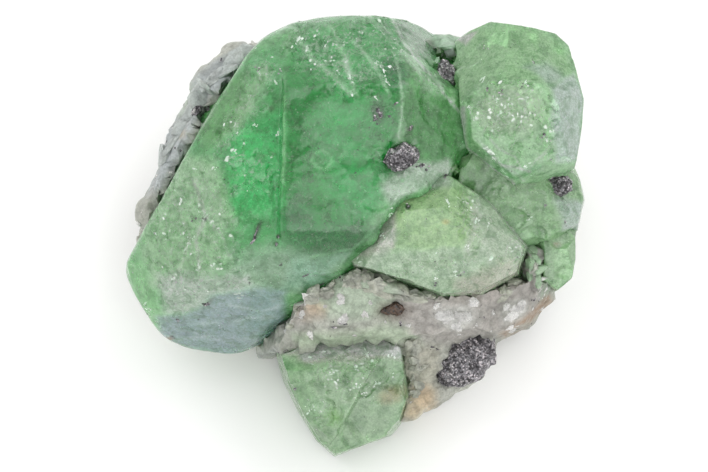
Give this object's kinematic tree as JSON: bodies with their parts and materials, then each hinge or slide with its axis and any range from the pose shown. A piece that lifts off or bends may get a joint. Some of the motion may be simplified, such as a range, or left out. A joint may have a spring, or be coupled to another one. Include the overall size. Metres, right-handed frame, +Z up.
{
  "type": "mineral specimen",
  "caption": "Cluster of green tsavorite garnet crystals grown together on a loose piece of pale rock with dark graphite grains, resting on its flat broken underside.",
  "frame": {"origin": "centre of the bounding box at the level of the flat break that the rock rests on", "axes": "+Z up from the surface it rests on, -Y towards the viewer who looks down on the crystals, +X to that viewer's right, along the longest side"},
  "size_m": [0.0228, 0.0212, 0.0149],
  "materials": {
    "deep_green_garnet": "clear to cloudy deep green crystal with cracks inside, glassy broken faces",
    "mint_garnet": "pale mint crystal, shiny with bevelled edges and a crackled inside",
    "yellow_green_garnet": "pale yellowish green crystal, cloudy, glassy",
    "pale_garnet": "pale grey-green crystal, cloudy, with bright cracks",
    "rock": "pale grey to pinkish grainy rock with white quartz and small brown stains",
    "graphite": "dark grey flakes with a metallic glitter",
    "dark_mineral": "dark brown to black, half glossy"
  },
  "bodies": {
    "root": {"large_crystal": "deep_green_garnet", "corner_crystal": "mint_garnet", "middle_crystal": "yellow_green_garnet", "lower_crystal": "pale_garnet", "edge_crystal": "yellow_green_garnet", "small_crystal": "pale_garnet", "matrix": "rock", "graphite_lump": "graphite", "graphite_knob": "graphite", "graphite_flake_right": "graphite", "graphite_flake_top": "graphite", "graphite_flake_left": "graphite", "dark_grain": "dark_mineral"}
  },
  "joints": []
}
